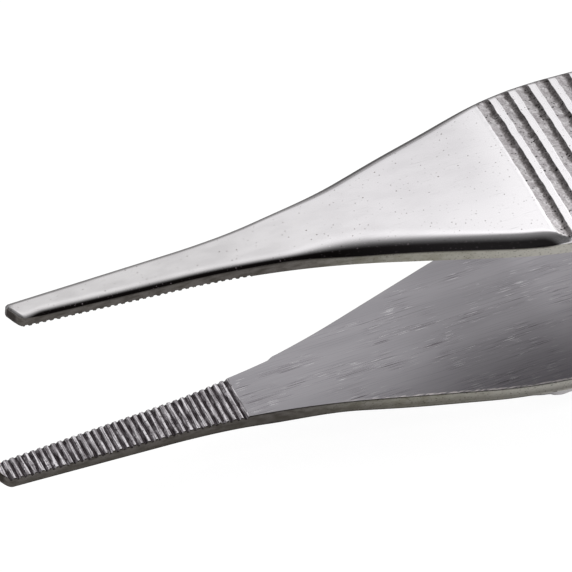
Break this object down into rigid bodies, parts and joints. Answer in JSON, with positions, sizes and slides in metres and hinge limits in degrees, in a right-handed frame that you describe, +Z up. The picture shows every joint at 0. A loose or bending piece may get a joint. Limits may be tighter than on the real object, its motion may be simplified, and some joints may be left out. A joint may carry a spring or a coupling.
{
  "type": "thumb forceps",
  "caption": "Sprung steel thumb forceps with wide fluted grips narrowing to slim cross-serrated jaws, welded at a rounded tail.",
  "frame": {"origin": "centre of the bounding box on the plane the forceps lie on", "axes": "+Z up, +X from the jaws' tips to the tail, +Y across the arms, away from the side seen in the picture"},
  "size_m": [0.1202, 0.013, 0.0186],
  "materials": {
    "stainless_steel": "polished outer faces, ground inner faces, dull edges, rough pitted flutes and serrations"
  },
  "bodies": {
    "root": {"upper_arm": "stainless_steel", "lower_arm": "stainless_steel"}
  },
  "joints": []
}
